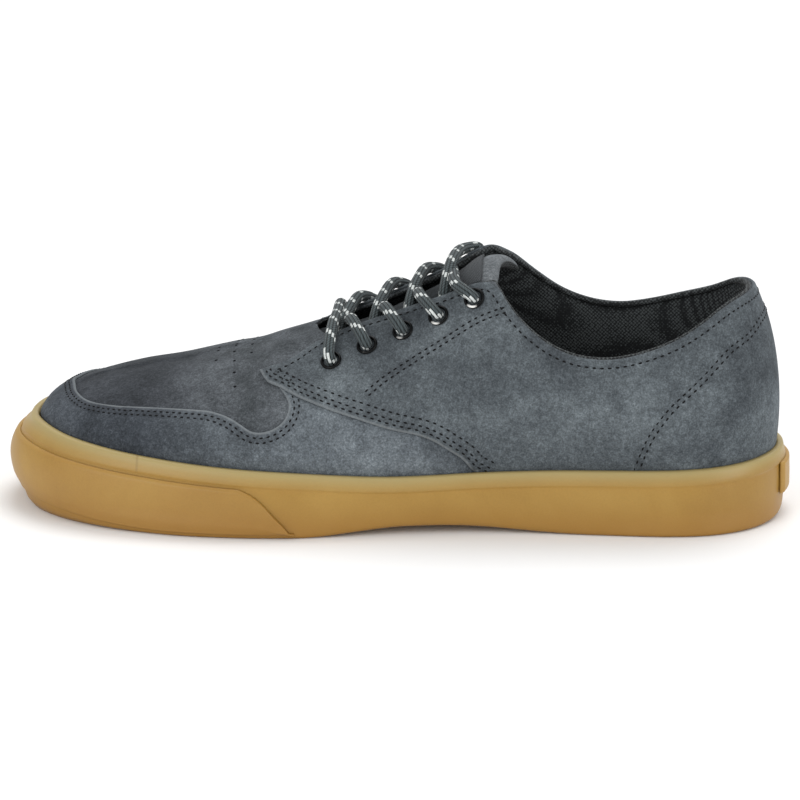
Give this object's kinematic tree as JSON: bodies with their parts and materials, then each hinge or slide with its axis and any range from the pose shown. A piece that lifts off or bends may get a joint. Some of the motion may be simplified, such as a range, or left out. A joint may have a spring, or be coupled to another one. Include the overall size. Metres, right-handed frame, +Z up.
{
  "type": "skateboarding shoe",
  "caption": "Low suede skateboarding shoe with a cupped gum-rubber sole, sewn overlays, a padded tongue and round laces, standing empty.",
  "frame": {"origin": "on the floor, under the middle of the shoe", "axes": "+X towards the toe, +Y towards the outer side of the foot, +Z up"},
  "size_m": [0.3029, 0.1136, 0.1015],
  "materials": {
    "suede": "matt grey-blue suede with a soft, brushed nap",
    "gum": "smooth moulded gum rubber, satin",
    "lining": "black knitted mesh over foam",
    "label": "plain woven label",
    "eyelet": "black enamel",
    "lace": "round braided cord with white flecks"
  },
  "bodies": {
    "root": {"sole": "gum", "toe_bumper": "gum", "heel_patch": "gum", "insole": "lining", "upper": "suede", "mudguard": "suede", "quarter_outer": "suede", "quarter_inner": "suede", "heel_counter": "suede", "tongue": "suede", "tongue_label": "label", "eyelet_outer_1": "eyelet", "eyelet_outer_2": "eyelet", "eyelet_outer_3": "eyelet", "eyelet_outer_4": "eyelet", "eyelet_outer_5": "eyelet", "eyelet_inner_1": "eyelet", "eyelet_inner_2": "eyelet", "eyelet_inner_3": "eyelet", "eyelet_inner_4": "eyelet", "eyelet_inner_5": "eyelet", "lace_bar": "lace", "lace_cross_1": "lace", "lace_cross_2": "lace", "lace_cross_3": "lace", "lace_cross_4": "lace"}
  },
  "joints": []
}
